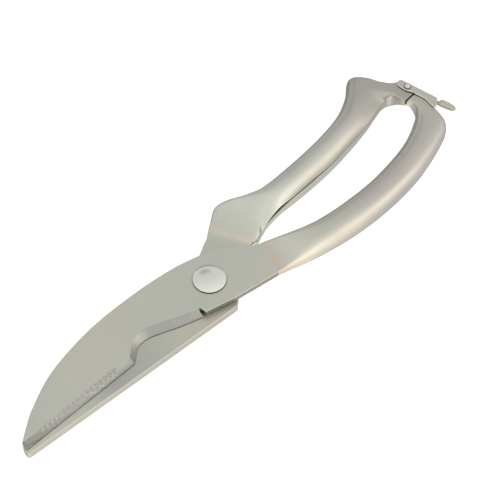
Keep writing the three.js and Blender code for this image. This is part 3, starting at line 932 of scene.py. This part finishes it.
def catch_wall(bm):
    """The end of the strip bent down behind the front handle's shoulder."""
    sheet = 0.9
    corners = [
        (STRIP_END - sheet, CATCH_IN), (STRIP_END - 0.02, CATCH_IN),
        (STRIP_END - 0.02, STRIP_OUT - 0.05), (STRIP_END - sheet, STRIP_OUT - 0.05),
    ]
    levels = [(0.2, CATCH_BOTTOM), (0.0, CATCH_BOTTOM + 0.25), (0.0, STRIP_BOTTOM + 0.4)]
    rings = [
        add_ring(bm, [lock_point(s, t, z) for s, t in inset(corners, [shrink] * 4)]) for shrink, z in levels
    ]
    for a, b in zip(rings, rings[1:]):
        bridge(bm, a, b)
    cap(bm, rings[0][::-1])
    cap(bm, rings[-1])


def pillow(bm, outline, levels, slot=0):
    """A rounded solid on an outline in s and t; levels are (inset, z) from the underside up."""
    rings = [
        add_ring(bm, [lock_point(q[0], q[1], z) for q in inset(outline, [shrink] * len(outline))])
        for shrink, z in levels
    ]
    for a, b in zip(rings, rings[1:]):
        bridge(bm, a, b, lambda i: slot)
    cap(bm, rings[0][::-1], slot)
    cap(bm, rings[-1], slot)


def thumb_tab(bm):
    """The thumb tab: a crowned, round-ended leaf on a short neck, with painted shade on its rim and neck
    and painted light on its crown.
    """
    leaf = through([
        (16.4, -0.6), (17.6, -0.95), (19.4, -0.85), (21.6, -0.6), (23.3, -0.2), (24.2, 0.6),
        (24.1, 1.6), (23.0, 2.4), (21.2, 2.75), (19.4, 2.85), (17.8, 2.8), (16.5, 2.55),
        (16.0, 1.9), (15.9, 1.0), (16.0, 0.1), (16.4, -0.6),
    ], 60)[:-1]
    pillow(bm, leaf, [(0.3, 5.35), (0, 5.6), (0, 6.15), (0.1, 6.35), (0.3, 6.5)], 2)
    pillow(bm, inset(leaf, [0.3] * len(leaf)), [(0, 6.4), (0, 6.5), (0.15, 6.56), (0.5, 6.6)], 3)
    neck = [
        (14.0, -1.2), (16.6, -0.7), (17.0, 0.3), (17.0, 1.2), (15.6, 0.95), (14.6, 1.0), (14.0, 1.2),
    ]
    pillow(bm, neck, [(0.1, 5.45), (0, 5.55), (0, 6.1), (0.1, 6.2)], 2)


def lock_rivet(bm):
    """A low domed rivet head over the strip, and its upset end under the handle."""
    head = STRIP_TOP + 0.02
    profile = [
        (0, 0.55), (0.9, 0.58), (1.25, 0.75), (0.75, 1.0), (0.75, head), (1.5, head), (1.68, head + 0.12),
        (1.6, head + 0.3), (1.25, head + 0.48), (0.8, head + 0.58), (0.3, head + 0.62), (0, head + 0.62),
    ]
    lathe(bm, profile, 40, at=(LOCK_PIN.x, LOCK_PIN.y))
    darken_side(bm, head, head + 0.48)


# ---------------------------------------------------------------- assembly

def keep(obj, body, slot, *nodes):
    """Lets a piece ride on a body and stand for CAD nodes."""
    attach(obj, body)
    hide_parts(*nodes)


keep(front_blade(), "front_half", "blade_steel", "front_blade")
keep(front_handle(), "front_half", "handle_steel", "front_handle")
keep(back_blade(), "back_half", "blade_steel", "back_blade")
keep(back_handle(), "back_half", "handle_steel", "back_handle")
bolt = new_piece("pivot_bolt_domed", pivot_bolt, [POLISHED, SHADE])
keep(bolt, "back_half", "polished_steel", "pivot_bolt")
washer = new_piece("pivot_washer_disc", pivot_washer, [LOCK])
keep(washer, "back_half", "lock_steel", "pivot_washer")
nut = new_piece("pivot_nut_hexagon", pivot_nut, [POLISHED], sharp=20)
keep(nut, "back_half", "polished_steel", "pivot_nut")
keep(inside_spring(), "back_half", "spring_steel", "inside_spring")
keep(safety_lock(), "lock", "lock_steel", "safety_lock")
rivet = new_piece("lock_rivet_head", lock_rivet, [POLISHED, SHADE])
keep(rivet, "back_half", "polished_steel", "lock_rivet")


# ---------------------------------------------------------------- studio

# Brightness of the studio's upper and lower half, as (place from -1 to 1 along a direction, colour)
SKY_DIRECTION = (-0.45, -0.75, -0.5)
SKY = [
    (-1.0, (0.5, 0.5, 0.52)),
    (-0.93, (0.73, 0.73, 0.73)),
    (-0.75, (0.76, 0.76, 0.755)),
    (-0.5, (0.82, 0.82, 0.81)),
    (-0.1, (0.93, 0.925, 0.915)),
    (0.15, (1.0, 0.98, 0.955)),
    (0.5, (1.06, 1.03, 0.99)),
]
TABLE_DIRECTION = (-0.6, -0.8, 0)
TABLE = [
    (-0.62, (0.42, 0.42, 0.42)),
    (-0.3, (0.7, 0.7, 0.7)),
    (0.12, (0.78, 0.77, 0.76)),
    (0.32, (0.95, 0.91, 0.88)),
    (0.48, (1.4, 1.3, 1.21)),
]
# One broad soft light low on the near right side, added to the upper half
SOFTBOX_DIRECTION = (0.43, -0.87, 0.2)
SOFTBOX = (0.7, 0.6, 0.52)
SOFTBOX_EDGES = (0.84, 0.98)
HORIZON = (-0.12, 0.08)

FLOOR_HALF_SIZE = 6.0
FLOOR_GLOW = 0.68

CAMERA_AZIMUTH, CAMERA_ELEVATION = math.radians(-47.5), math.radians(54)
CAMERA_DISTANCE = 0.8
CAMERA_TARGET = Vector((25.049, 5.765, 0))


def floor():
    """A plain white bed that glows a little and isn't seen in the steel."""
    mesh = bpy.data.meshes.new("floor")
    bm = bmesh.new()
    bmesh.ops.create_grid(bm, x_segments=1, y_segments=1, size=FLOOR_HALF_SIZE)
    bm.to_mesh(mesh)
    bm.free()
    obj = bpy.data.objects.new("floor", mesh)
    bpy.context.scene.collection.objects.link(obj)
    n = Nodes("floor_white")
    n.shader.inputs["Base Color"].default_value = (0.8, 0.8, 0.8, 1)
    n.shader.inputs["Roughness"].default_value = 0.9
    n.shader.inputs["Specular IOR Level"].default_value = 0.0
    n.shader.inputs["Emission Color"].default_value = (1, 1, 1, 1)
    n.shader.inputs["Emission Strength"].default_value = FLOOR_GLOW
    mesh.materials.append(n.material)
    obj.visible_glossy = False


def world():
    """A soft grey studio: an upper and a lower half, each a ramp along its own direction."""
    studio = bpy.data.worlds.new("studio")
    bpy.context.scene.world = studio
    studio.use_nodes = True
    tree = studio.node_tree
    coordinate = tree.nodes.new("ShaderNodeTexCoord")

    def along(direction):
        node = tree.nodes.new("ShaderNodeVectorMath")
        node.operation = "DOT_PRODUCT"
        node.inputs[1].default_value = Vector(direction).normalized()
        tree.links.new(coordinate.outputs["Generated"], node.inputs[0])
        return node.outputs["Value"]

    def smooth_step(value, edges):
        node = tree.nodes.new("ShaderNodeMapRange")
        node.interpolation_type = "SMOOTHSTEP"
        node.inputs["From Min"].default_value, node.inputs["From Max"].default_value = edges
        tree.links.new(value, node.inputs["Value"])
        return node.outputs["Result"]

    def ramp(value, stops):
        half = tree.nodes.new("ShaderNodeMath")
        half.operation = "MULTIPLY_ADD"
        half.inputs[1].default_value = half.inputs[2].default_value = 0.5
        tree.links.new(value, half.inputs[0])
        node = tree.nodes.new("ShaderNodeValToRGB")
        elements = node.color_ramp.elements
        while len(elements) < len(stops):
            elements.new(0.5)
        for element, (position, colour) in zip(elements, stops):
            element.position = (position + 1) / 2
            element.color = (*colour, 1)
        tree.links.new(half.outputs["Value"], node.inputs["Fac"])
        return node.outputs["Color"]

    above = ramp(along(SKY_DIRECTION), SKY)
    below = ramp(along(TABLE_DIRECTION), TABLE)
    lit = tree.nodes.new("ShaderNodeVectorMath")
    lit.operation = "MULTIPLY_ADD"
    lit.inputs[1].default_value = SOFTBOX
    tree.links.new(smooth_step(along(SOFTBOX_DIRECTION), SOFTBOX_EDGES), lit.inputs[0])
    tree.links.new(above, lit.inputs[2])
    mix = tree.nodes.new("ShaderNodeMix")
    mix.data_type = "RGBA"
    tree.links.new(smooth_step(along((0, 0, 1)), HORIZON), mix.inputs["Factor"])
    tree.links.new(below, mix.inputs["A"])
    tree.links.new(lit.outputs["Vector"], mix.inputs["B"])
    tree.links.new(mix.outputs["Result"], tree.nodes["Background"].inputs["Color"])


def camera():
    """Looks down at the blades' side from the front and left, aimed just past the pivot."""
    data = bpy.data.cameras.new("camera")
    data.lens = 141.6
    data.sensor_width = 36
    obj = bpy.data.objects.new("camera", data)
    a, e = CAMERA_AZIMUTH, CAMERA_ELEVATION
    back = Vector((math.sin(a) * math.cos(e), -math.cos(a) * math.cos(e), math.sin(e)))
    obj.location = PIVOT + CAMERA_TARGET * MM + back * CAMERA_DISTANCE
    obj.rotation_mode = "QUATERNION"
    obj.rotation_quaternion = (-back).to_track_quat("-Z", "Y")
    bpy.context.scene.collection.objects.link(obj)
    bpy.context.scene.camera = obj


floor()
world()
camera()
bpy.context.scene.view_settings.view_transform = "Standard"
